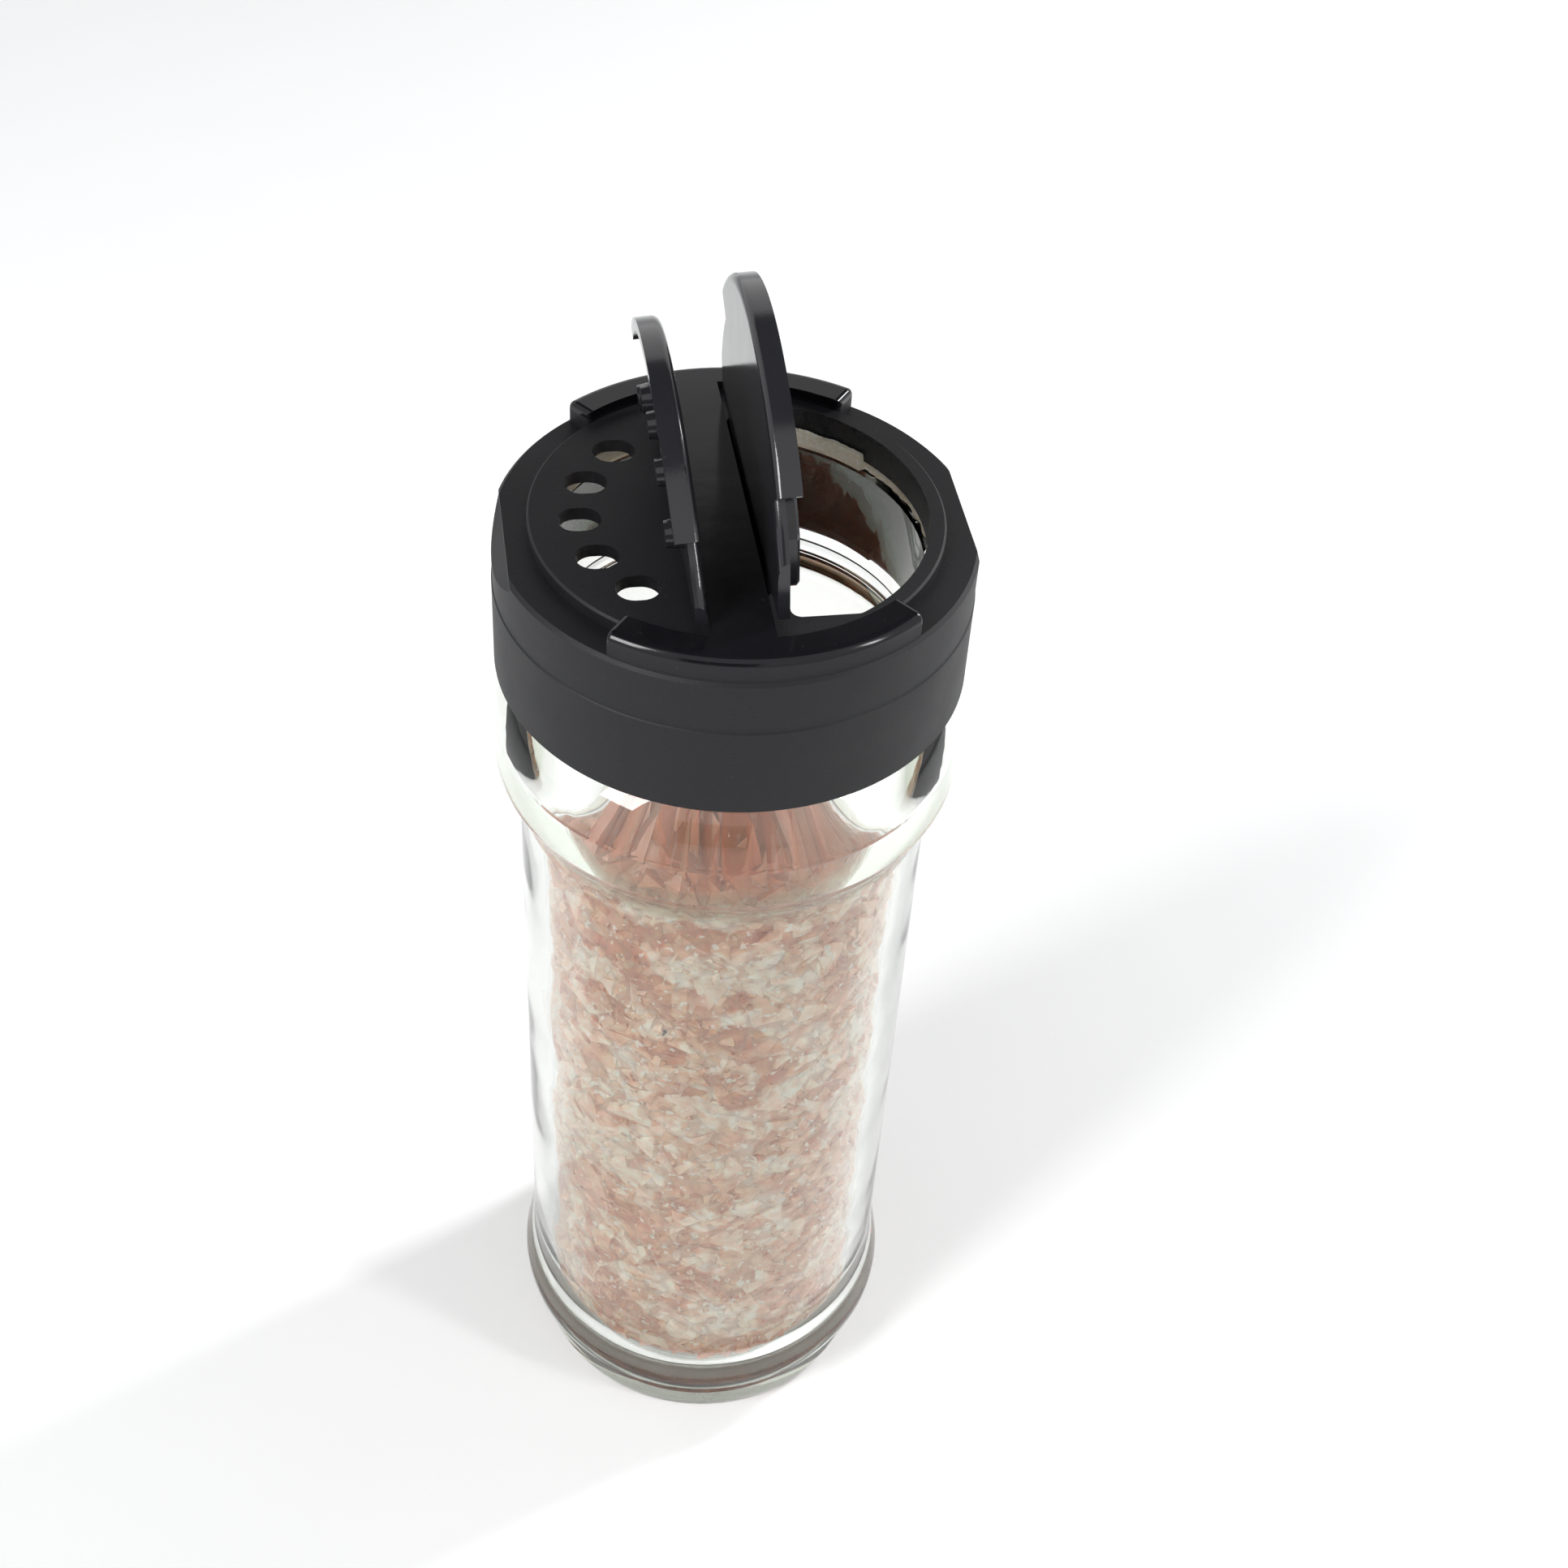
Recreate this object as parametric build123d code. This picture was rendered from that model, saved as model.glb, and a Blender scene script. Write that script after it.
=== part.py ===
from build123d import *
import math
import os

# Spice shaker jar: round glass jar, screw cap with a sifter side and a spoon side.
# Millimetres. Z is up, the jar stands on z = 0 and its axis is the Z axis.
# The flap hinges run along Y. The spoon opening is at +X, the sifter holes at -X.

# Glass jar
BODY_RADIUS = 20.7
WALL = 2.3
BASE_BEAD_RADIUS = 21.9
SHOULDER_RADIUS = 22.95
SHOULDER_BOTTOM = 93.2
SHOULDER_TOP = 98.5
NECK_RADIUS = 20.0
NECK_BORE = 17.6
NECK_BASE = 104.2
BEAD_HEIGHT = 105.2
RIM_TOP = 117.9
FLOOR_TOP = 7.0
FOOT_INNER = 14.5
FOOT_OUTER = 18.6
PUSH_UP = 1.6
SALT_TOP = 94.0

# Screw thread, about one turn on each part
PITCH = 4.2
GLASS_CREST = 21.0
CAP_CREST = 20.35
GLASS_THREAD_START = 109.0
GLASS_THREAD_TURNS = 1.1
CAP_THREAD_TURNS = 0.9
THREAD_TURN = 35.0

# Screw cap
SKIRT_BOTTOM = 105.5
SKIRT_RADIUS = 22.65
SKIRT_STEP = 115.2
RING_RADIUS = 22.5
RING_TOP = 120.8
DECK_RADIUS = 19.2
DECK_TOP = 122.1
FLAP_TOP = 123.2
SKIRT_BORE = 21.3
UPPER_BORE = 20.6
COLLAR_BOTTOM = 118.95
NOTCH_FLAT = 21.3
NOTCH_HALF_WIDTH = 6.5
CRESCENT_HALF_ANGLE = 39.0
CRESCENT_OUTER = 22.2

# Sifter holes and spoon opening
HOLE_COUNT = 5
HOLE_CIRCLE = 14.45
HOLE_STEP = 22.35
HOLE_LENGTH = 4.0
HOLE_WIDTH = 3.4
OPENING_RADIUS = 17.7
OPENING_CHORD = 2.6
OPENING_HALF_WIDTH = 15.4

# Flaps on thin bending hinges
SIFTER_HINGE_X = 5.2
SPOON_HINGE_X = 1.2
HINGE_Z = 123.0
HINGE_GAP = 0.5
WEB_THICKNESS = 0.3
WEB_HALF_LENGTH = 13.0
FLAP_RADIUS = 21.5
FLAP_INNER_RADIUS = 18.85
FLAP_HALF_ANGLE = 49.5
FLAP_UNDERSIDE = 122.15
LIP_INNER = 20.3
LIP_BOTTOM = 120.95
PEG_RADIUS = 1.45
PEG_BOTTOM = 120.6
PLUG_RADIUS = 17.4
PLUG_WALL = 1.1
PLUG_BOTTOM = 120.95
SIFTER_OPEN = 85.0
SPOON_OPEN = 93.0


def turned(profile):
    """Solid of revolution about Z from a face drawn in the XZ plane."""
    return revolve(profile, Axis.Z, 360)


def glass_outer_profile():
    """Outside of the jar in the XZ plane, from the foot up to the rim."""
    with BuildSketch(Plane.XZ) as sketch:
        with BuildLine():
            ThreePointArc((0, PUSH_UP), (FOOT_INNER / 2, PUSH_UP * 0.75), (FOOT_INNER, 0))
            Polyline((FOOT_INNER, 0), (FOOT_OUTER, 0), (19.6, 0.5), (20.0, 1.6), (20.05, 5.0))
            ThreePointArc((20.05, 5.0), (21.0, 6.2), (21.7, 7.6))
            ThreePointArc((21.7, 7.6), (BASE_BEAD_RADIUS, 9.2), (21.55, 11.0))
            ThreePointArc((21.55, 11.0), (20.95, 13.4), (BODY_RADIUS, 17.0))
            Line((BODY_RADIUS, 17.0), (BODY_RADIUS, 88.0))
            ThreePointArc(
                (BODY_RADIUS, 88.0),
                (BODY_RADIUS + 0.55, 90.4),
                (SHOULDER_RADIUS - 0.4, 92.7),
            )
            Line((SHOULDER_RADIUS - 0.4, 92.7), (SHOULDER_RADIUS, 93.6))
            Line((SHOULDER_RADIUS, 93.6), (SHOULDER_RADIUS, SHOULDER_TOP))
            ThreePointArc(
                (SHOULDER_RADIUS, SHOULDER_TOP),
                (SHOULDER_RADIUS - 0.75, 101.5),
                (NECK_RADIUS, NECK_BASE),
            )
            Polyline(
                (NECK_RADIUS, NECK_BASE),
                (NECK_RADIUS, BEAD_HEIGHT - 0.4),
                (NECK_RADIUS + 0.35, BEAD_HEIGHT),
                (NECK_RADIUS, BEAD_HEIGHT + 0.4),
                (NECK_RADIUS, RIM_TOP - 0.9),
                (NECK_RADIUS - 0.26, RIM_TOP - 0.26),
                (NECK_RADIUS - 0.9, RIM_TOP),
            )
            Line((NECK_RADIUS - 0.9, RIM_TOP), (0, RIM_TOP))
            Line((0, RIM_TOP), (0, PUSH_UP))
        make_face()
    return sketch.sketch


def glass_inner_profile():
    """Hollow of the jar in the XZ plane, open through the rim."""
    bore = BODY_RADIUS - WALL
    with BuildSketch(Plane.XZ) as sketch:
        with BuildLine():
            Line((0, FLOOR_TOP), (bore - 3.2, FLOOR_TOP))
            ThreePointArc(
                (bore - 3.2, FLOOR_TOP),
                (bore - 0.94, FLOOR_TOP + 0.94),
                (bore, FLOOR_TOP + 3.2),
            )
            Line((bore, FLOOR_TOP + 3.2), (bore, 89.0))
            ThreePointArc((bore, 89.0), (bore + 0.45, 92.4), (bore + 0.75, 95.8))
            ThreePointArc((bore + 0.75, 95.8), (bore + 0.35, 100.6), (NECK_BORE, 105.0))
            Polyline(
                (NECK_BORE, 105.0),
                (NECK_BORE, RIM_TOP - 0.6),
                (NECK_BORE + 0.18, RIM_TOP - 0.18),
                (NECK_BORE + 0.6, RIM_TOP),
            )
            Line((NECK_BORE + 0.6, RIM_TOP), (NECK_BORE + 0.6, RIM_TOP + 2))
            Line((NECK_BORE + 0.6, RIM_TOP + 2), (0, RIM_TOP + 2))
            Line((0, RIM_TOP + 2), (0, FLOOR_TOP))
        make_face()
    return sketch.sketch


def thread_rib(root_radius, crest_radius, start_height, turns):
    """One helical rib whose trapezoid section grows from root to crest radius."""
    helix = Helix(pitch=PITCH, height=PITCH * turns, radius=root_radius)
    helix = Pos(0, 0, start_height) * helix
    depth = crest_radius - root_radius
    buried = -0.6 if depth > 0 else 0.6
    section_plane = Plane(origin=helix @ 0, x_dir=(1, 0, 0), z_dir=helix % 0)
    with BuildSketch(section_plane) as section:
        with BuildLine():
            Polyline(
                (buried, -0.9),
                (0, -0.75),
                (depth, -0.42),
                (depth, 0.42),
                (0, 0.75),
                (buried, 0.9),
                close=True,
            )
        make_face()
    rib = sweep(section.sketch, path=helix, is_frenet=True)
    return Rot(0, 0, THREAD_TURN) * rib


def glass_jar():
    jar = turned(glass_outer_profile()) - turned(glass_inner_profile())
    rib = thread_rib(NECK_RADIUS, GLASS_CREST, GLASS_THREAD_START, GLASS_THREAD_TURNS)
    return jar + rib


def salt_fill():
    """Heaped crystals: follows the glass with a little air and ends in a low mound."""
    edge = BODY_RADIUS - WALL - 0.2
    with BuildSketch(Plane.XZ) as sketch:
        with BuildLine():
            Line((0, FLOOR_TOP + 0.1), (edge - 3.2, FLOOR_TOP + 0.1))
            ThreePointArc(
                (edge - 3.2, FLOOR_TOP + 0.1),
                (edge - 0.94, FLOOR_TOP + 1.04),
                (edge, FLOOR_TOP + 3.3),
            )
            Line((edge, FLOOR_TOP + 3.3), (edge, SALT_TOP - 2.0))
            Polyline(
                (edge, SALT_TOP - 2.0),
                (edge - 1.4, SALT_TOP - 0.6),
                (9.0, SALT_TOP - 0.15),
                (0, SALT_TOP),
            )
            Line((0, SALT_TOP), (0, FLOOR_TOP + 0.1))
        make_face()
    return turned(sketch.sketch)


def rim_seal():
    """Flat seal ring between the glass rim and the cap's collar."""
    ring = Cylinder(NECK_RADIUS, 0.9, align=(Align.CENTER, Align.CENTER, Align.MIN))
    ring = ring - Cylinder(NECK_BORE - 0.1, 4)
    ring = chamfer(ring.edges().filter_by(GeomType.CIRCLE), 0.15)
    return Pos(0, 0, RIM_TOP + 0.05) * ring


def sector(radius, half_angle, height):
    """Pie slice about +X, from z = 0 upwards."""
    reach = radius * 1.6
    side = math.radians(half_angle)
    corner = (reach * math.cos(side), reach * math.sin(side))
    with BuildSketch() as sketch:
        with BuildLine():
            Polyline((0, 0), (corner[0], -corner[1]), (reach, 0), corner, close=True)
        make_face()
        Circle(radius, mode=Mode.INTERSECT)
    return extrude(sketch.sketch, height)


def cap_shell():
    """Skirt, flat ring and raised deck as one turned moulding."""
    with BuildSketch(Plane.XZ) as sketch:
        with BuildLine():
            Polyline(
                (SKIRT_RADIUS - 0.3, SKIRT_BOTTOM),
                (SKIRT_RADIUS, SKIRT_BOTTOM + 0.3),
                (SKIRT_RADIUS - 0.05, SKIRT_STEP - 0.12),
                (RING_RADIUS, SKIRT_STEP),
                (RING_RADIUS, RING_TOP - 0.35),
                (RING_RADIUS - 0.35, RING_TOP),
                (DECK_RADIUS, RING_TOP),
                (DECK_RADIUS, DECK_TOP - 0.2),
                (DECK_RADIUS - 0.2, DECK_TOP),
                (0, DECK_TOP),
                (0, DECK_TOP - 1.3),
                (NECK_BORE + 0.1, DECK_TOP - 1.3),
                (NECK_BORE + 0.1, COLLAR_BOTTOM),
                (NECK_BORE + 1.4, COLLAR_BOTTOM),
                (NECK_BORE + 1.7, 119.5),
                (UPPER_BORE, 119.5),
                (UPPER_BORE, 114.6),
                (SKIRT_BORE, 113.9),
                (SKIRT_BORE, SKIRT_BOTTOM + 0.6),
                (SKIRT_BORE + 0.35, SKIRT_BOTTOM),
                close=True,
            )
        make_face()
    return turned(sketch.sketch)


def crescent():
    """Raised segment of the rim at the end of the hinge bar, at +Y."""
    height = FLAP_TOP - RING_TOP + 0.4
    block = sector(CRESCENT_OUTER, CRESCENT_HALF_ANGLE, height)
    block = block - Cylinder(DECK_RADIUS - 0.05, 20)
    top = block.edges().group_by(Axis.Z)[-1]
    block = fillet(top.filter_by(GeomType.CIRCLE).sort_by(SortBy.RADIUS)[-1:], 0.9)
    ends = block.edges().filter_by(Axis.Z)
    block = fillet(ends, 0.5)
    return Pos(0, 0, RING_TOP - 0.4) * Rot(0, 0, 90) * block


def hinge_bar():
    """Fixed bar between the two flaps; it runs into both crescents."""
    left = -SIFTER_HINGE_X + HINGE_GAP
    right = SPOON_HINGE_X - HINGE_GAP
    with BuildSketch(Plane.XY.offset(DECK_TOP - 0.3)) as sketch:
        with Locations(((left + right) / 2, 0)):
            Rectangle(right - left, 2 * DECK_RADIUS + 2)
        Circle(DECK_RADIUS + 0.6, mode=Mode.INTERSECT)
    return extrude(sketch.sketch, FLAP_TOP - DECK_TOP + 0.3)


def sifter_holes():
    """Five obround holes on one circle, all lying the same way."""
    cutters = []
    for index in range(HOLE_COUNT):
        angle = math.radians(180 + (index - (HOLE_COUNT - 1) / 2) * HOLE_STEP)
        centre = (HOLE_CIRCLE * math.cos(angle), HOLE_CIRCLE * math.sin(angle))
        with BuildSketch(Plane.XY.offset(DECK_TOP - 3)) as sketch:
            with Locations(centre):
                SlotOverall(HOLE_LENGTH, HOLE_WIDTH)
        cutters.append(extrude(sketch.sketch, 6))
    return cutters


def d_shape(radius, chord, half_width, corner):
    """Round opening cut short by a chord and two straight ends."""
    with BuildSketch() as sketch:
        Circle(radius)
        with Locations((chord + radius, 0)):
            Rectangle(2 * radius, 2 * half_width, mode=Mode.INTERSECT)
        fillet(sketch.vertices(), corner)
    return sketch.sketch


def finger_notch():
    """Sloping cut in the ring's outer edge, at +X."""
    with BuildSketch(Plane.XZ) as sketch:
        with BuildLine():
            Polyline(
                (NOTCH_FLAT, RING_TOP + 1),
                (NOTCH_FLAT, RING_TOP - 0.8),
                (RING_RADIUS + 0.6, RING_TOP - 4.2),
                (RING_RADIUS + 3, RING_TOP + 1),
                close=True,
            )
        make_face()
    return extrude(sketch.sketch, NOTCH_HALF_WIDTH + 0.8, both=True)


def cap_body():
    start = GLASS_THREAD_START - PITCH / 2
    rib = thread_rib(SKIRT_BORE, CAP_CREST, start, CAP_THREAD_TURNS)
    cap = cap_shell() + rib
    cap = cap + crescent() + Rot(0, 0, 180) * crescent() + hinge_bar()
    for hole in sifter_holes():
        cap = cap - hole
    opening = d_shape(OPENING_RADIUS, OPENING_CHORD, OPENING_HALF_WIDTH, 1.0)
    cap = cap - Pos(0, 0, DECK_TOP - 6) * extrude(opening, 12)
    return cap - finger_notch() - Rot(0, 0, 180) * finger_notch()


def flap_plate(hinge_x):
    """Closed flap about +X: plate, wider outer edge and lip over the deck's side."""
    height = FLAP_TOP - FLAP_UNDERSIDE
    plate = sector(FLAP_RADIUS, FLAP_HALF_ANGLE, FLAP_TOP - LIP_BOTTOM)
    plate = plate - Cylinder(LIP_INNER, 2 * (FLAP_UNDERSIDE - LIP_BOTTOM))
    with BuildSketch() as sketch:
        Circle(FLAP_INNER_RADIUS)
        Rectangle(60, 2 * (FLAP_INNER_RADIUS - 1.6), mode=Mode.INTERSECT)
    inner = Pos(0, 0, FLAP_UNDERSIDE - LIP_BOTTOM) * extrude(sketch.sketch, height)
    plate = plate + inner
    keep = Pos(hinge_x + HINGE_GAP + 30, 0, 0) * Box(60, 60, 20)
    plate = plate & keep
    top = plate.edges().group_by(Axis.Z)[-1].filter_by(GeomType.CIRCLE)
    plate = fillet(top, 0.7)
    return Pos(0, 0, LIP_BOTTOM) * plate


def opened(shape, hinge_x, angle):
    """Turn a closed flap about its hinge line to the angle it stands open."""
    about = Axis((hinge_x, 0, HINGE_Z), (0, 1, 0))
    return shape.rotate(about, -angle)


def hinge_web(hinge_x, angle):
    """Thin strip that bends from the bar's top edge up into the flap."""
    rise = FLAP_TOP - HINGE_Z
    half = math.radians(angle) / 2
    reach = HINGE_GAP - rise * math.tan(half)
    inner = reach / math.tan(half)
    outer = inner + WEB_THICKNESS
    centre = (hinge_x - HINGE_GAP, FLAP_TOP + inner)

    def on_arc(radius, turn):
        return (
            centre[0] + radius * math.sin(turn),
            centre[1] - radius * math.cos(turn),
        )

    with BuildSketch(Plane.XZ) as sketch:
        with BuildLine():
            ThreePointArc(on_arc(inner, 0), on_arc(inner, half), on_arc(inner, 2 * half))
            Line(on_arc(inner, 2 * half), on_arc(outer, 2 * half))
            ThreePointArc(on_arc(outer, 2 * half), on_arc(outer, half), on_arc(outer, 0))
            Line(on_arc(outer, 0), on_arc(inner, 0))
        make_face()
    return extrude(sketch.sketch, WEB_HALF_LENGTH, both=True)


def spoon_flap():
    flap = flap_plate(SPOON_HINGE_X)
    outline = d_shape(PLUG_RADIUS, OPENING_CHORD + 0.4, OPENING_HALF_WIDTH - 0.3, 1.0)
    hollow = d_shape(
        PLUG_RADIUS - PLUG_WALL,
        OPENING_CHORD + 0.4 + PLUG_WALL,
        OPENING_HALF_WIDTH - 0.3 - PLUG_WALL,
        0.6,
    )
    depth = FLAP_UNDERSIDE - PLUG_BOTTOM
    plug = extrude(outline, depth + 0.2) - extrude(hollow, depth + 0.2)
    plug = chamfer(plug.edges().group_by(Axis.Z)[0], 0.25)
    flap = flap + Pos(0, 0, PLUG_BOTTOM) * plug
    return opened(flap, SPOON_HINGE_X, SPOON_OPEN)


def sifter_flap():
    flap = flap_plate(SIFTER_HINGE_X)
    for index in range(HOLE_COUNT):
        angle = math.radians((index - (HOLE_COUNT - 1) / 2) * HOLE_STEP)
        height = FLAP_UNDERSIDE - PEG_BOTTOM + 0.2
        peg = Cone(
            PEG_RADIUS - 0.25,
            PEG_RADIUS,
            height,
            align=(Align.CENTER, Align.CENTER, Align.MIN),
        )
        at = (HOLE_CIRCLE * math.cos(angle), HOLE_CIRCLE * math.sin(angle))
        flap = flap + Pos(at[0], at[1], PEG_BOTTOM) * peg
    return Rot(0, 0, 180) * opened(flap, SIFTER_HINGE_X, SIFTER_OPEN)


def main():
    os.makedirs("parts", exist_ok=True)
    nodes = {
        "glass_jar": glass_jar(),
        "salt_fill": salt_fill(),
        "rim_seal": rim_seal(),
        "cap_body": cap_body(),
        "sifter_flap": sifter_flap(),
        "spoon_flap": spoon_flap(),
        "sifter_hinge_web": Rot(0, 0, 180) * hinge_web(SIFTER_HINGE_X, SIFTER_OPEN),
        "spoon_hinge_web": hinge_web(SPOON_HINGE_X, SPOON_OPEN),
    }
    for name, shape in nodes.items():
        solid = shape.solids()[0]
        print(name, len(shape.solids()), "solid", round(solid.volume, 1), "mm3")
        export_step(solid, f"parts/{name}.step")


main()
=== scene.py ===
import bmesh
import bpy
import math
import random
from mathutils import Matrix, Vector, noise


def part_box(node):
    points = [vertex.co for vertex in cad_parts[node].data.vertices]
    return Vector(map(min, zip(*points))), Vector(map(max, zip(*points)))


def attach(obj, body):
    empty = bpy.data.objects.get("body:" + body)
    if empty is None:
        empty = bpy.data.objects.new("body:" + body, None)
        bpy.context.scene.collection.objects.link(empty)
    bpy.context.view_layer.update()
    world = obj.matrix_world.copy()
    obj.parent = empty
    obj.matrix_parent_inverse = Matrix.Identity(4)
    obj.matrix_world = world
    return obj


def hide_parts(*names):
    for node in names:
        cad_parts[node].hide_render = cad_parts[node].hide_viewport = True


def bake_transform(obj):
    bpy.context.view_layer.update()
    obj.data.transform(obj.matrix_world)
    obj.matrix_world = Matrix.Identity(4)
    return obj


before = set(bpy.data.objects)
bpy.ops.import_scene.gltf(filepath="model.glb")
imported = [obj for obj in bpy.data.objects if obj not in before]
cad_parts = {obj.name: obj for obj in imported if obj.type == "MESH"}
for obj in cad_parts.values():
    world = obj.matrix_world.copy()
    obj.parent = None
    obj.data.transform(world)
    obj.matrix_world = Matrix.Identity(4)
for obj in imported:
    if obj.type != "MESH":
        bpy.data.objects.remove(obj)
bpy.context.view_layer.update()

# Spice shaker jar: clear glass, coarse pink salt, black screw cap with two open flaps.
# Metres, in the frame's own axes. MM turns the sizes below into metres.
MM = 0.001

# Salt grains. They reach out to the wall radius, and each stands back from it by up to the slack.
# The density is per square metre. A crystal shape is where the noise that chips it is read.
WALL_RADIUS = 18.2 * MM
WALL_SLACK = 0.3 * MM
SALT_LOW, SALT_HIGH = (corner.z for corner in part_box("salt_fill"))
GRAIN_DENSITY = 560000.0
GRAIN_SMALL = 0.5 * MM
GRAIN_LARGE = 3.2 * MM
GRAIN_SMALL_BIAS = 1.7
GRAIN_SINK = 0.62
GRAIN_STRETCH_LOW, GRAIN_STRETCH_HIGH = 0.65, 1.15
GRAIN_SEED = 7
CRYSTAL_SHAPES = (6.0, 2.4, 9.1, 4.7)
CHIP_SCALE = 0.9
CHIP_PUSH = 1.7

# Core of the fill, behind the grains
CORE_RADIUS = 17.75 * MM
CORE_HUB = 2.0 * MM
CORE_FOOT_BEVEL = 2.4 * MM
CORE_TOP_BEVEL = 1.5 * MM
CORE_STEPS = 48
TOP_ROOM = 0.9 * MM

# Salt colours: scales of the fine cells and of the broad patches, and the browner ends of the fill
FINE_GRAIN_SCALE = 520.0
LARGE_GRAIN_SCALE = 260.0
BROWN_TOP, BROWN_TOP_BLUR = 92.0 * MM, 5 * MM
BROWN_LOW, BROWN_LOW_BLUR = 9.0 * MM, 4 * MM

# Glass: colour through its depth, and the ledge under the shoulder, where a darker green band of
# painted shade stands in for light dimmed through thick glass
GLASS_DEPTH_COLOUR = (0.79, 0.82, 0.74, 1)
GLASS_DEPTH_DENSITY = 42.0
LEDGE_START, LEDGE_FULL = 88.5 * MM, 89.6 * MM
LEDGE_FADE, LEDGE_END = 92.3 * MM, 93.0 * MM

# Black plastic: the two crescents and the bar's top, above this height, were polished
POLISHED_HEIGHT = 122.2 * MM
POLISHED_BLUR = 0.1 * MM
POLISHED_ROUGHNESS = 0.1

# Seal ring under the cap
SEAL_CURL = 17.4 * MM
SEAL_CURL_TOP = 119.7 * MM
SEAL_SHORT = 17.75 * MM
SEAL_OUTER = 20.0 * MM
SEAL_TEAR_FROM = math.radians(37)
SEAL_TEAR_TO = math.radians(205)
SEAL_STEPS = 480
SEAL_SEED = 11

# Hinge webs: half length along Y, thickness, how much thinner the middle is, and steps.
# The fit keeps the strip's outer face a hair inside the web of the frame. The sifter's web lies
# left of the divide and the spoon's web right of it.
WEB_HALF_LENGTH = 13.0 * MM
WEB_THICKNESS = 0.3 * MM
WEB_THINNING = 0.35
WEB_FIT = 0.999
WEB_BENDS, WEB_RUNS = 12, 60
WEB_DIVIDE = -2 * MM

# Studio: each lamp's place, size and watts, and each dark card's place, aim and half size
SOFT_STRENGTH, WHITE_STRENGTH = 0.62, 1.0
FLOOR_HALF_SIZE = 2.5
JAR_MIDDLE = (0, 0, 0.07)
LAMPS = {
    "window_left": ((-0.6, -0.35, 0.6), (0.25, 0.4), 5.6),
    "window_front_right": ((0.6, -0.44, 0.46), (0.08, 0.3), 1.8),
    "window_right": ((0.62, 0.25, 0.5), (0.1, 0.32), 3.8),
}
DARK_CARDS = {
    "dark_ceiling": ((0.1, 0.55, 1.15), (0.1, 0.55, 0), 0.8),
    "dark_wall_front": ((-0.25, -1.0, 0.35), JAR_MIDDLE, 0.3),
}

# Camera: where the photograph was taken from
CAMERA_PLACE = (-0.02866, -0.16337, 0.24817)
CAMERA_TURN = math.radians(12.064)
CAMERA_TILT = math.radians(44.026)
CAMERA_ROLL = math.radians(4.319)
CAMERA_LENS = 51.98

# Sockets of the Mix node when it mixes colours
MIX_FACTOR, MIX_FIRST, MIX_SECOND, MIX_RESULT = 0, 6, 7, 2


class Wire:
    """A value in a node tree, with the usual arithmetic."""

    def __init__(self, tree, socket):
        self.tree = tree
        self.socket = socket

    def math(self, operation, *others):
        return node(self.tree, "ShaderNodeMath", [self, *others], operation=operation)

    def __add__(self, other):
        return self.math("ADD", other)

    def __sub__(self, other):
        return self.math("SUBTRACT", other)

    def __mul__(self, other):
        return self.math("MULTIPLY", other)

    def __truediv__(self, other):
        return self.math("DIVIDE", other)

    def __pow__(self, other):
        return self.math("POWER", other)

    def __rsub__(self, other):
        return node(self.tree, "ShaderNodeMath", [other, self], operation="SUBTRACT")

    def over(self, low, high):
        """0 below low, 1 above high and smooth in between."""
        inputs = {"Value": self, "From Min": low, "From Max": high}
        return node(self.tree, "ShaderNodeMapRange", inputs, interpolation_type="SMOOTHSTEP")


def put(tree, socket, value):
    """A wire is linked, anything else is the socket's own value."""
    if isinstance(value, Wire):
        tree.links.new(value.socket, socket)
    else:
        socket.default_value = value


def node(tree, kind, inputs=(), output=0, **settings):
    """Adds a node, sets it up and returns one of its outputs as a Wire."""
    made = tree.nodes.new(kind)
    for name, value in settings.items():
        setattr(made, name, value)
    pairs = inputs.items() if isinstance(inputs, dict) else enumerate(inputs)
    for key, value in pairs:
        put(tree, made.inputs[key], value)
    return Wire(tree, made.outputs[output])


def rgb(red, green, blue):
    """Linear colour from the 0-255 values that a screen shows."""
    parts = [channel / 255 for channel in (red, green, blue)]
    return (*[p / 12.92 if p <= 0.04045 else ((p + 0.055) / 1.055) ** 2.4 for p in parts], 1.0)


def mix(tree, factor, first, second):
    inputs = {MIX_FACTOR: factor, MIX_FIRST: first, MIX_SECOND: second}
    return node(tree, "ShaderNodeMix", inputs, output=MIX_RESULT, data_type="RGBA")


def place(tree):
    return node(tree, "ShaderNodeTexCoord", output="Object")


def height_of(tree):
    return node(tree, "ShaderNodeSeparateXYZ", [place(tree)], output="Z")


def speckle(tree, scale, detail=3.0):
    inputs = {"Vector": place(tree), "Scale": scale, "Detail": detail}
    return node(tree, "ShaderNodeTexNoise", inputs)


def bump(tree, height, distance, strength=1.0, normal=None):
    inputs = {"Strength": strength, "Distance": distance, "Height": height}
    if normal is not None:
        inputs["Normal"] = normal
    return node(tree, "ShaderNodeBump", inputs)


def material(name, **plain):
    """A new material with one Principled shader whose plain values are set."""
    made = bpy.data.materials.new(name)
    made.use_nodes = True
    shader = made.node_tree.nodes["Principled BSDF"]
    for label, value in plain.items():
        shader.inputs[label.replace("_", " ")].default_value = value
    return made, made.node_tree, shader


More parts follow.
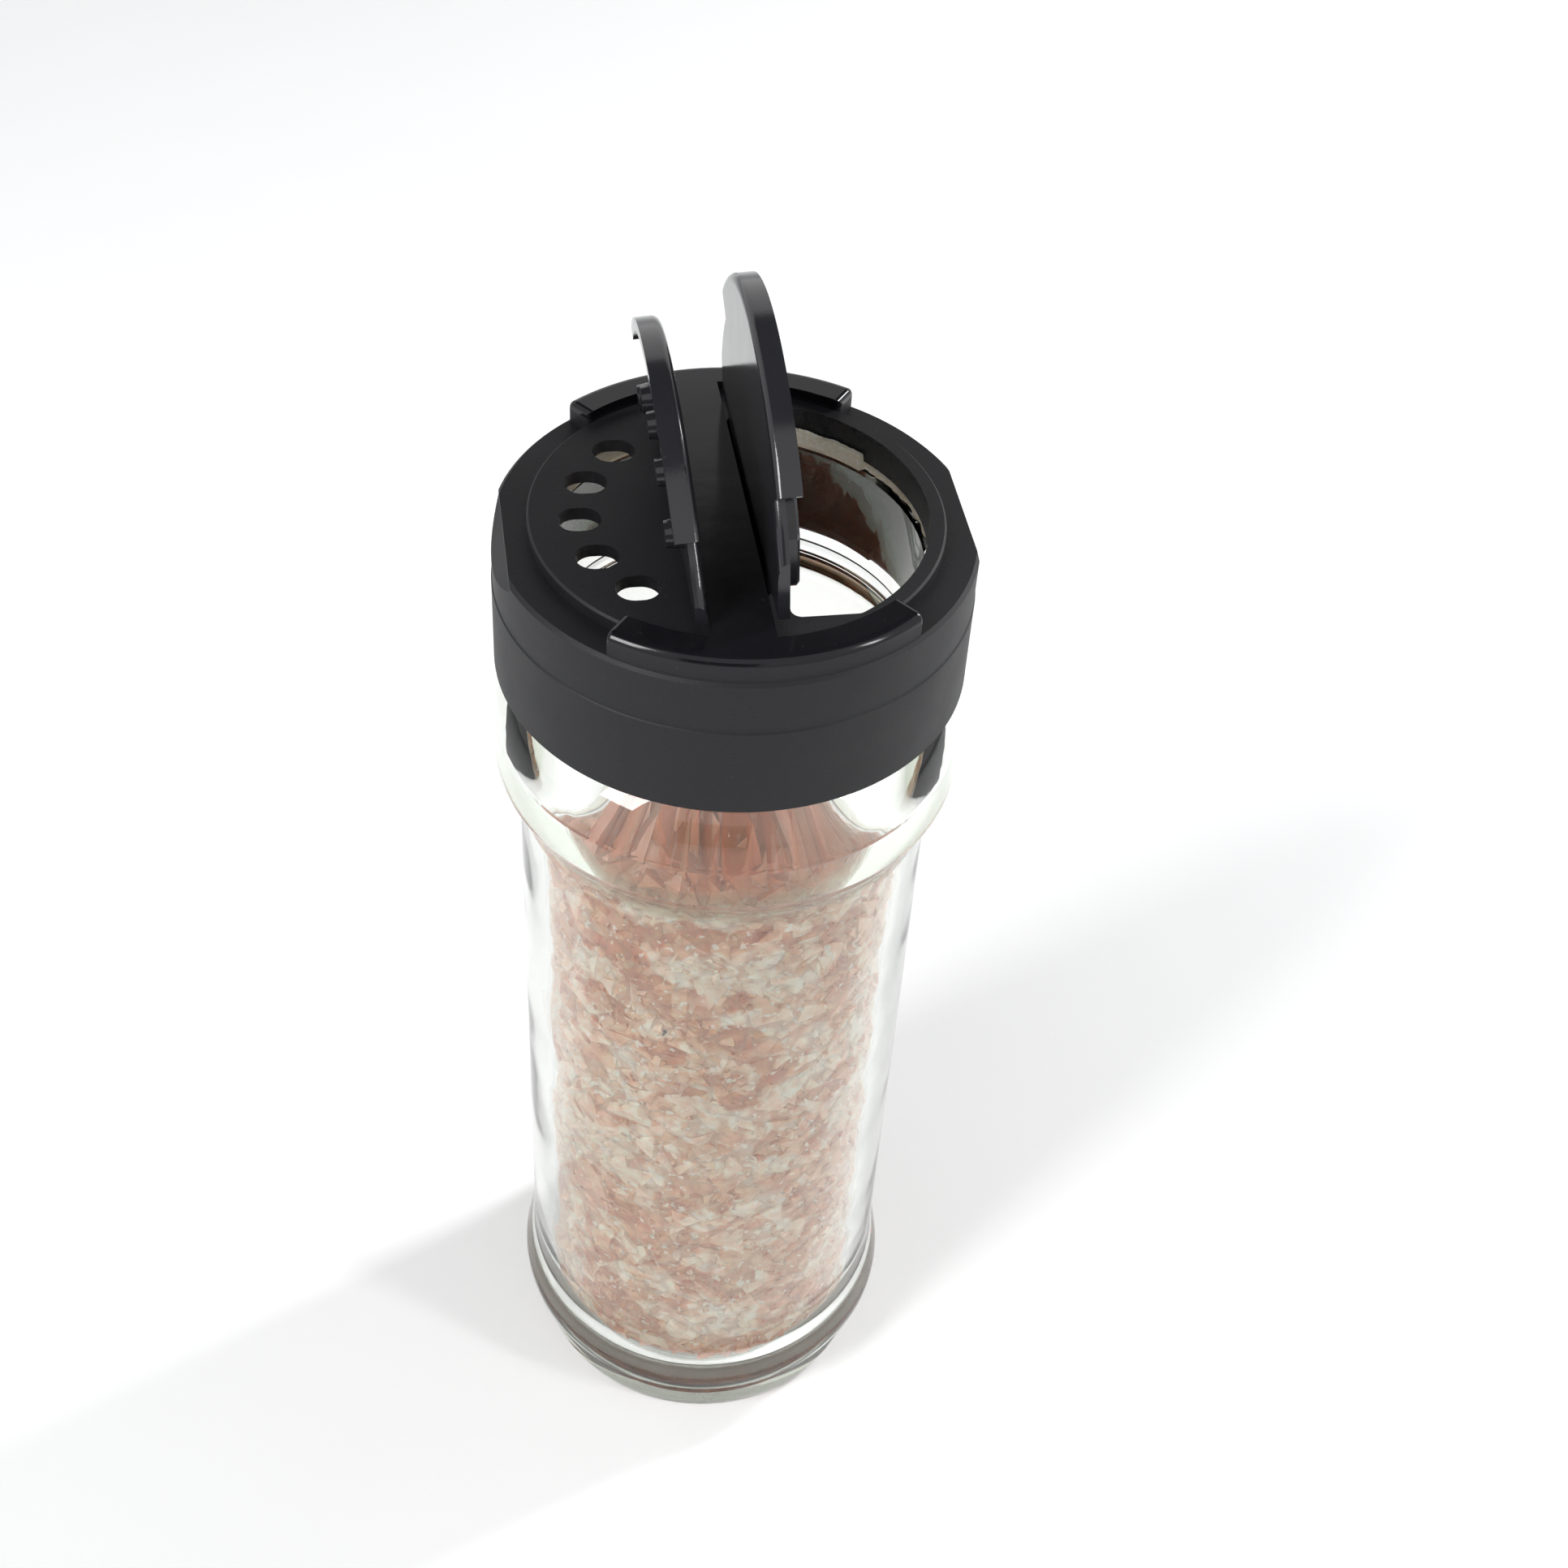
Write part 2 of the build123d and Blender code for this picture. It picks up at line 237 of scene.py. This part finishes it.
def clear_glass():
    """Pressed glass: faintly green, with the slow waves and small smears of a moulded jar."""
    made, tree, shader = material("clear_glass", Transmission_Weight=1.0, IOR=1.5)
    smear = speckle(tree, 90.0, 4.0).over(0.5, 0.75)
    height = height_of(tree)
    clear = mix(tree, smear, (0.975, 0.99, 0.982, 1), (0.955, 0.97, 0.962, 1))
    # painted shade: a darker green band on the ledge under the shoulder, for light dimmed through
    # thick glass
    thick_glass_shade = height.over(LEDGE_START, LEDGE_FULL) * (1 - height.over(LEDGE_FADE, LEDGE_END))
    put(tree, shader.inputs["Base Color"], mix(tree, thick_glass_shade, clear, (0.77, 0.85, 0.72, 1)))
    put(tree, shader.inputs["Roughness"], smear * 0.04)
    waves = speckle(tree, 75.0, 1.0)
    put(tree, shader.inputs["Normal"], bump(tree, waves, 0.25 * MM, 0.5))
    depth = {"Color": GLASS_DEPTH_COLOUR, "Density": GLASS_DEPTH_DENSITY}
    tint = node(tree, "ShaderNodeVolumeAbsorption", depth)
    put(tree, tree.nodes["Material Output"].inputs["Volume"], tint)
    return made


def pink_salt():
    """Grains from tan white to brick pink, cloudy inside, and browner towards both ends of the fill.
    Between the modelled grains, smaller ones are cells with their own colour and height, darkened
    towards their edges by painted shade."""
    made, tree, shader = material(
        "pink_salt", IOR=1.54, Subsurface_Weight=0.3, Subsurface_Scale=0.0015
    )
    grain = node(tree, "ShaderNodeAttribute", output="Fac", attribute_name="grain")
    fine = {"Vector": place(tree), "Scale": FINE_GRAIN_SCALE}
    cell = node(tree, "ShaderNodeTexVoronoi", fine, output="Color")
    middle = node(tree, "ShaderNodeTexVoronoi", fine, output="Distance")
    tone = node(tree, "ShaderNodeSeparateColor", [cell])
    between = 1 - grain.over(0.0, 0.0005)
    broad = {"Vector": place(tree), "Scale": LARGE_GRAIN_SCALE, "Smoothness": 0.25}
    patch = node(tree, "ShaderNodeTexVoronoi", broad, output="Color", feature="SMOOTH_F1")
    shared = node(tree, "ShaderNodeSeparateColor", [patch])
    pick = shared * 0.6 + (grain + between * tone) * 0.4
    cloud = speckle(tree, 700.0, 4.0)
    pale = mix(tree, cloud.over(0.35, 0.7), rgb(236, 194, 168), rgb(250, 228, 210))
    tinted = mix(tree, cloud.over(0.3, 0.65), rgb(214, 148, 114), rgb(234, 184, 152))
    brick = mix(tree, cloud.over(0.3, 0.7), rgb(186, 108, 74), rgb(212, 146, 108))
    colour = mix(tree, pick.over(0.3, 0.55), pale, tinted)
    colour = mix(tree, pick.over(0.6, 0.78), colour, brick)
    # painted shade: the small cells between the grains darken towards their edges, so the gaps look
    # deep
    colour = mix(tree, between * middle.over(0.3, 0.62) * 0.4, colour, rgb(160, 104, 80))
    frost = speckle(tree, 1100.0, 2.0).over(0.62, 0.68)
    colour = mix(tree, frost * 0.7, colour, rgb(248, 234, 222))
    height = height_of(tree)
    # the fill turns browner towards its top and towards its bottom
    brown_top = height.over(BROWN_TOP - BROWN_TOP_BLUR, BROWN_TOP)
    brown_foot = 1 - height.over(BROWN_LOW, BROWN_LOW + BROWN_LOW_BLUR)
    colour = mix(tree, (brown_top + brown_foot) * 0.75, colour, rgb(196, 98, 44))
    dark_speck = grain.over(0.9975, 0.9985)
    colour = mix(tree, dark_speck, colour, rgb(88, 80, 76))
    put(tree, shader.inputs["Base Color"], colour)
    put(tree, shader.inputs["Roughness"], cloud * 0.35 + 0.15)
    chips = bump(tree, speckle(tree, 1800.0, 2.0), 0.12 * MM, 0.6)
    put(tree, shader.inputs["Normal"], bump(tree, between * (1 - middle), 0.5 * MM, 1.0, chips))
    return made


def black_plastic(name, gloss, grain_depth, tone, polished_from=None, **plain):
    """Injection-moulded black polypropylene: fine grain, flow marks and a little dust.
    Above polished_from the mould was polished, so the grain fades and the gloss rises."""
    made, tree, shader = material(name, IOR=1.49, **plain)
    grain = speckle(tree, 6500.0, 2.0)
    flow = speckle(tree, 160.0, 3.0)
    dust = speckle(tree, 2600.0, 2.0).over(0.72, 0.8)
    paler = tuple(channel * 1.5 for channel in tone[:3]) + (1,)
    dark = mix(tree, flow, tone, paler)
    put(tree, shader.inputs["Base Color"], mix(tree, dust * 0.08, dark, rgb(150, 150, 150)))
    rough = flow * 0.1 + (gloss - 0.05) + dust * 0.1
    if polished_from is not None:
        satin = 1 - height_of(tree).over(polished_from, polished_from + POLISHED_BLUR)
        rough = flow * 0.06 + POLISHED_ROUGHNESS + satin * (rough - POLISHED_ROUGHNESS)
        grain = grain * satin
    put(tree, shader.inputs["Roughness"], rough)
    soft = bump(tree, flow, 0.08 * MM, 0.25)
    put(tree, shader.inputs["Normal"], bump(tree, grain, grain_depth, 0.5, soft))
    return made


def cream_seal():
    """Pressed paper liner: short fibres, a little stained where salt touched it."""
    made, tree, shader = material("cream_seal", IOR=1.4)
    fibres = speckle(tree, 2400.0, 5.0)
    stain = speckle(tree, 260.0, 3.0).over(0.55, 0.75)
    colour = mix(tree, fibres.over(0.35, 0.65), rgb(242, 234, 208), rgb(252, 248, 236))
    put(tree, shader.inputs["Base Color"], mix(tree, stain, colour, rgb(226, 212, 184)))
    put(tree, shader.inputs["Roughness"], fibres * 0.15 + 0.7)
    put(tree, shader.inputs["Normal"], bump(tree, fibres, 0.08 * MM, 0.7))
    return made


def new_object(name, data):
    made = bpy.data.objects.new(name, data)
    bpy.context.scene.collection.objects.link(made)
    return made


def mesh_of(name, shape):
    """Turns a finished bmesh into a mesh of that name."""
    mesh = bpy.data.meshes.new(name)
    shape.to_mesh(mesh)
    shape.free()
    return mesh


def turned_mesh(name, profile, steps):
    """Surface of revolution about Z through (radius, height) points, from bottom to top."""
    shape = bmesh.new()
    turns = [2 * math.pi * step / steps for step in range(steps)]
    rings = []
    for radius, height in profile:
        spots = [(radius * math.cos(turn), radius * math.sin(turn), height) for turn in turns]
        rings.append([shape.verts.new(spot) for spot in spots])
    for lower, upper in zip(rings, rings[1:]):
        for step in range(steps):
            after = (step + 1) % steps
            shape.faces.new((lower[step], lower[after], upper[after], upper[step]))
    shape.faces.new(list(reversed(rings[0])))
    shape.faces.new(rings[-1])
    return mesh_of(name, shape)


class Grains:
    """Geometry nodes that cover a surface with broken crystals, kept inside the glass."""

    def __init__(self, finish):
        self.tree = bpy.data.node_groups.new("crystal_grains", "GeometryNodeTree")
        self.socket("Surface", "Geometry")
        self.socket("Density", "Float", GRAIN_DENSITY)
        self.socket("Smallest", "Float", GRAIN_SMALL)
        self.socket("Largest", "Float", GRAIN_LARGE)
        self.socket("Wall Radius", "Float", WALL_RADIUS)
        self.socket("Wall Slack", "Float", WALL_SLACK)
        self.socket("Lowest", "Float", SALT_LOW)
        self.socket("Highest", "Float", SALT_HIGH)
        self.socket("Seed", "Int", GRAIN_SEED)
        self.socket("Grains", "Geometry", in_out="OUTPUT")
        self.given = self.tree.nodes.new("NodeGroupInput")
        self.build(finish)

    def socket(self, name, kind, value=None, in_out="INPUT"):
        kind = "NodeSocket" + kind
        made = self.tree.interface.new_socket(name, in_out=in_out, socket_type=kind)
        if value is not None:
            made.default_value = value

    def input(self, name):
        return Wire(self.tree, self.given.outputs[name])

    def add(self, kind, inputs=(), output=0, **settings):
        return node(self.tree, kind, inputs, output, **settings)

    def vector(self, operation, first, second):
        """Vector Math on two vectors, or on a vector and the number that scales it."""
        inputs = {0: first, "Scale" if operation == "SCALE" else 1: second}
        return self.add("ShaderNodeVectorMath", inputs, operation=operation)

    def chance(self, kind, low, high, offset):
        """Random value between low and high, one per point. The node keeps a minimum, a maximum
        and an output for each kind, the vector's first."""
        made = self.tree.nodes.new("FunctionNodeRandomValue")
        made.data_type = kind
        lowest, highest, result = (0, 1, 0) if kind == "FLOAT_VECTOR" else (2, 3, 1)
        put(self.tree, made.inputs[lowest], low)
        put(self.tree, made.inputs[highest], high)
        put(self.tree, made.inputs["Seed"], self.input("Seed") + offset)
        return Wire(self.tree, made.outputs[result])

    def crystal(self, offset):
        """One chipped crystal about 1 m in radius, scaled down where it is placed."""
        ball = self.add("GeometryNodeMeshIcoSphere", {"Radius": 1.0, "Subdivisions": 1})
        where = self.add("GeometryNodeInputPosition")
        moved = self.vector("ADD", where, (offset, offset * 0.7, -offset))
        lumps = {"Vector": moved, "Scale": CHIP_SCALE, "Detail": 0.0}
        rough = self.add("ShaderNodeTexNoise", lumps, output="Color")
        push = self.vector("SCALE", self.vector("SUBTRACT", rough, (0.5, 0.5, 0.5)), CHIP_PUSH)
        return self.add("GeometryNodeSetPosition", {"Geometry": ball, "Offset": push})

    def inside(self, geometry):
        """Pulls points that stand past the glass or the fill's ends back to them."""
        where = self.add("GeometryNodeInputPosition")
        parts = self.tree.nodes.new("ShaderNodeSeparateXYZ")
        put(self.tree, parts.inputs[0], where)
        x, y, z = (Wire(self.tree, out) for out in parts.outputs)
        reach = (x * x + y * y) ** 0.5
        tag = self.add("GeometryNodeInputNamedAttribute", {"Name": "grain"}, data_type="FLOAT")
        wall = self.input("Wall Radius") - tag * self.input("Wall Slack")
        pull = (wall / reach).math("MINIMUM", 1.0)
        height = z.math("MAXIMUM", self.input("Lowest")).math("MINIMUM", self.input("Highest"))
        held = self.add("ShaderNodeCombineXYZ", [x * pull, y * pull, height])
        return self.add("GeometryNodeSetPosition", {"Geometry": geometry, "Position": held})

    def build(self, finish):
        surface = self.input("Surface")
        scatter = self.tree.nodes.new("GeometryNodeDistributePointsOnFaces")
        put(self.tree, scatter.inputs["Mesh"], surface)
        put(self.tree, scatter.inputs["Density"], self.input("Density"))
        put(self.tree, scatter.inputs["Seed"], self.input("Seed"))
        points = Wire(self.tree, scatter.outputs["Points"])
        outward = Wire(self.tree, scatter.outputs["Normal"])
        shapes = self.tree.nodes.new("GeometryNodeGeometryToInstance")
        for offset in CRYSTAL_SHAPES:
            put(self.tree, shapes.inputs[0], self.crystal(offset))
        size = self.chance("FLOAT", 0.0, 1.0, 1) ** GRAIN_SMALL_BIAS
        size = self.input("Smallest") + size * (self.input("Largest") - self.input("Smallest"))
        sink = self.vector("SCALE", outward, size * -GRAIN_SINK)
        points = self.add("GeometryNodeSetPosition", {"Geometry": points, "Offset": sink})
        shortest, longest = (GRAIN_STRETCH_LOW,) * 3, (GRAIN_STRETCH_HIGH,) * 3
        stretch = self.chance("FLOAT_VECTOR", shortest, longest, 2)
        turn = self.chance("FLOAT_VECTOR", (0.0, 0.0, 0.0), (math.tau, math.tau, math.tau), 3)
        spots = {
            "Points": points,
            "Instance": Wire(self.tree, shapes.outputs[0]),
            "Pick Instance": True,
            "Rotation": self.add("FunctionNodeEulerToRotation", [turn]),
            "Scale": self.vector("SCALE", stretch, size),
        }
        grains = self.add("GeometryNodeInstanceOnPoints", spots)
        tag = {"Geometry": grains, "Name": "grain", "Value": self.chance("FLOAT", 0.0, 1.0, 4)}
        grains = self.add("GeometryNodeStoreNamedAttribute", tag, domain="INSTANCE")
        solid = self.inside(self.add("GeometryNodeRealizeInstances", {"Geometry": grains}))
        joined = self.tree.nodes.new("GeometryNodeJoinGeometry")
        put(self.tree, joined.inputs[0], solid)
        put(self.tree, joined.inputs[0], surface)
        flat = {"Geometry": Wire(self.tree, joined.outputs[0]), "Shade Smooth": False}
        faceted = self.add("GeometryNodeSetShadeSmooth", flat)
        done = self.add("GeometryNodeSetMaterial", {"Geometry": faceted, "Material": finish})
        put(self.tree, self.tree.nodes.new("NodeGroupOutput").inputs[0], done)


def salt_crystals():
    """Core of the fill, with a layer of grains against the glass and over the top."""
    low, high = SALT_LOW + GRAIN_SMALL, SALT_HIGH - TOP_ROOM
    profile = [
        (CORE_HUB, low),
        (CORE_RADIUS - CORE_FOOT_BEVEL, low),
        (CORE_RADIUS, low + CORE_FOOT_BEVEL),
        (CORE_RADIUS, high - CORE_TOP_BEVEL),
        (CORE_RADIUS - CORE_TOP_BEVEL, high),
        (CORE_HUB, high),
    ]
    finish = pink_salt()
    core = new_object("salt_core", turned_mesh("salt_core", profile, CORE_STEPS))
    grains = core.modifiers.new("grains", "NODES")
    grains.node_group = Grains(finish).tree
    evaluated = core.evaluated_get(bpy.context.evaluated_depsgraph_get())
    mesh = bpy.data.meshes.new_from_object(evaluated)
    mesh.materials.clear()
    mesh.materials.append(finish)
    bpy.data.objects.remove(core)
    piece = new_object("salt_crystals", mesh)
    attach(piece, "jar")
    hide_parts("salt_fill")


def seal_section(turn, dice, low, high):
    """(radius, height) points round the paper at one place. Part of its inner edge still curls up
    into the opening, and the rest is torn short, in small steps."""
    frayed = noise.noise((math.cos(turn) * 9, math.sin(turn) * 9, 0.3))
    nick = dice.uniform(0, 0.07) * MM
    curled = SEAL_TEAR_FROM + 0.05 * frayed < turn < SEAL_TEAR_TO + 0.2 * frayed
    middle = (low + high) / 2
    if curled:
        tip = SEAL_CURL_TOP + 0.25 * MM * frayed - nick
        inner = [
            (SEAL_CURL - 0.15 * MM, low),
            (SEAL_CURL - 0.3 * MM, middle),
            (SEAL_CURL - 0.15 * MM, tip),
            (SEAL_CURL + 0.2 * MM, tip + 0.05 * MM),
            (SEAL_CURL + 0.3 * MM, high),
        ]
    else:
        short = SEAL_SHORT + 0.5 * MM * abs(frayed) + nick
        inner = [
            (short, low),
            (short - 0.05 * MM, middle),
            (short + 0.02 * MM, high - nick),
            (short + 0.1 * MM, high - nick),
            (short + 0.3 * MM, high),
        ]
    return inner + [(SEAL_OUTER - 0.15 * MM, high), (SEAL_OUTER, middle), (SEAL_OUTER - 0.1 * MM, low)]


def seal_ring():
    """Paper ring pressed on the glass rim."""
    low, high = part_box("rim_seal")
    dice = random.Random(SEAL_SEED)
    shape = bmesh.new()
    rings = []
    for step in range(SEAL_STEPS):
        turn = math.tau * step / SEAL_STEPS
        section = seal_section(turn, dice, low.z, high.z)
        spots = [(radius * math.cos(turn), radius * math.sin(turn), z) for radius, z in section]
        rings.append([shape.verts.new(spot) for spot in spots])
    for ring, after in zip(rings, rings[1:] + rings[:1]):
        for index in range(len(ring)):
            shape.faces.new((ring[index], ring[index - 1], after[index - 1], after[index]))
    bmesh.ops.recalc_face_normals(shape, faces=shape.faces)
    mesh = mesh_of("torn_seal_ring", shape)
    mesh.materials.append(cream_seal())
    piece = new_object("torn_seal_ring", mesh)
    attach(piece, "seal")
    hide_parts("rim_seal")


def hinge_web(name, node_name, finish):
    """Thin bent strip from the bar's edge to the flap, thinnest in its middle."""
    low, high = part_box(node_name)
    side = 1 if low.x > WEB_DIVIDE else -1
    near, far = (low.x, high.x) if side > 0 else (high.x, low.x)
    rows = []
    for bend in range(WEB_BENDS + 1):
        part = bend / WEB_BENDS
        turn = part * math.pi / 2
        across = near + (far - near - side * WEB_THICKNESS) * math.sin(turn)
        height = low.z + (high.z - low.z) * (1 - math.cos(turn))
        thin = WEB_THICKNESS * (1 - WEB_THINNING * math.sin(part * math.pi))
        out = Vector((side * math.sin(turn), 0, -math.cos(turn)))
        rows.append((Vector((across, 0, min(height, high.z))), out * thin))
    shape = bmesh.new()
    for run in range(WEB_RUNS + 1):
        along = Vector((0, -WEB_HALF_LENGTH + 2 * WEB_HALF_LENGTH * run / WEB_RUNS, 0))
        for spot, thick in rows:
            shape.verts.new(spot + along)
            shape.verts.new(spot + thick * WEB_FIT + along)
    shape.verts.ensure_lookup_table()

    def face(*corners):
        shape.faces.new([shape.verts[corner] for corner in corners])

    count = 2 * (WEB_BENDS + 1)
    for run in range(WEB_RUNS):
        for bend in range(WEB_BENDS):
            first = run * count + 2 * bend
            face(first, first + 2, first + 2 + count, first + count)
            face(first + 1, first + 1 + count, first + 3 + count, first + 3)
        for edge in (0, 2 * WEB_BENDS):
            first = run * count + edge
            face(first, first + 1, first + 1 + count, first + count)
    for end in (0, WEB_RUNS * count):
        for bend in range(WEB_BENDS):
            first = end + 2 * bend
            face(first, first + 1, first + 3, first + 2)
    bmesh.ops.recalc_face_normals(shape, faces=shape.faces)
    for piece_face in shape.faces:
        piece_face.smooth = True
    mesh = mesh_of(name, shape)
    mesh.materials.append(finish)
    piece = new_object(name, mesh)
    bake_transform(piece)
    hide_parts(node_name)


def paint(node_name, finish):
    """Gives a CAD node its finish, all over."""
    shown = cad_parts[node_name]
    shown.data.materials.clear()
    shown.data.materials.append(finish)
    for polygon in shown.data.polygons:
        polygon.material_index = 0


def backdrop_light():
    """White studio: plain white for the camera, gloss and glass, and a softer one that lights."""
    world = bpy.data.worlds.new("studio")
    bpy.context.scene.world = world
    world.use_nodes = True
    tree = world.node_tree
    tree.nodes.clear()
    rays = tree.nodes.new("ShaderNodeLightPath")
    kinds = ("Is Camera Ray", "Is Glossy Ray", "Is Transmission Ray")
    seen, mirrored, through = (Wire(tree, rays.outputs[kind]) for kind in kinds)
    straight = seen.math("MAXIMUM", mirrored).math("MAXIMUM", through)
    soft_look = {"Color": (0.95, 0.97, 1.0, 1), "Strength": SOFT_STRENGTH}
    white_look = {"Color": (1, 1, 1, 1), "Strength": WHITE_STRENGTH}
    soft = node(tree, "ShaderNodeBackground", soft_look)
    white = node(tree, "ShaderNodeBackground", white_look)
    both = node(tree, "ShaderNodeMixShader", [straight, soft, white])
    put(tree, tree.nodes.new("ShaderNodeOutputWorld").inputs[0], both)


def aim(made, place_at, target):
    """Puts a lamp or a card in its place, facing the target."""
    made.location = place_at
    made.rotation_mode = "QUATERNION"
    made.rotation_quaternion = (Vector(place_at) - Vector(target)).to_track_quat("Z", "Y")


def lamp(name, place_at, size, power):
    data = bpy.data.lights.new(name, "AREA")
    data.shape = "RECTANGLE"
    data.size, data.size_y = size
    data.energy = power
    aim(new_object(name, data), place_at, JAR_MIDDLE)


def sheet(name, finish, half_size):
    """Flat square sheet of the studio, in the plane z = 0."""
    shape = bmesh.new()
    bmesh.ops.create_grid(shape, x_segments=1, y_segments=1, size=half_size)
    mesh = mesh_of(name, shape)
    mesh.materials.append(finish)
    return new_object(name, mesh)


def floor():
    made, tree, shader = material("pale_floor", Roughness=0.75)
    soft = speckle(tree, 30.0, 2.0)
    shade = mix(tree, soft, (0.93, 0.93, 0.925, 1), (0.95, 0.95, 0.945, 1))
    put(tree, shader.inputs["Base Color"], shade)
    sheet("floor", made, FLOOR_HALF_SIZE)


def dark_card(name, place_at, target, half_size):
    """Dark part of the room, outside the view, that gloss and glass pick up."""
    made, tree, shader = material(name, Roughness=0.9)
    shade = mix(tree, speckle(tree, 3.0), (0.05, 0.05, 0.05, 1), (0.09, 0.09, 0.09, 1))
    put(tree, shader.inputs["Base Color"], shade)
    card = sheet(name, made, half_size)
    aim(card, place_at, target)


def camera():
    data = bpy.data.cameras.new("camera")
    data.sensor_width = 36.0
    data.lens = CAMERA_LENS
    data.clip_start = 0.01
    made = new_object("camera", data)
    level = math.cos(CAMERA_TILT)
    side, along = math.sin(CAMERA_TURN), math.cos(CAMERA_TURN)
    ahead = Vector((side * level, along * level, -math.sin(CAMERA_TILT)))
    right = Vector((along, -side, 0))
    up = right.cross(ahead)
    rolled_x = math.cos(CAMERA_ROLL) * right + math.sin(CAMERA_ROLL) * up
    rolled_y = math.cos(CAMERA_ROLL) * up - math.sin(CAMERA_ROLL) * right
    turn = Matrix((rolled_x, rolled_y, -ahead)).transposed()
    made.matrix_world = Matrix.Translation(CAMERA_PLACE) @ turn.to_4x4()
    bpy.context.scene.camera = made
    bpy.context.scene.view_settings.view_transform = "Standard"


matte_black = black_plastic(
    "matte_black_cap", 0.5, 0.05 * MM, rgb(16, 16, 19), POLISHED_HEIGHT, Specular_IOR_Level=0.3
)
glossy_black = black_plastic("glossy_black_flap", 0.14, 0.012 * MM, rgb(30, 30, 33))
paint("glass_jar", clear_glass())
paint("cap_body", matte_black)
paint("sifter_flap", glossy_black)
paint("spoon_flap", glossy_black)
salt_crystals()
seal_ring()
hinge_web("sifter_web", "sifter_hinge_web", matte_black)
hinge_web("spoon_web", "spoon_hinge_web", matte_black)
backdrop_light()
floor()
for lamp_name, settings in LAMPS.items():
    lamp(lamp_name, *settings)
for card_name, settings in DARK_CARDS.items():
    dark_card(card_name, *settings)
camera()
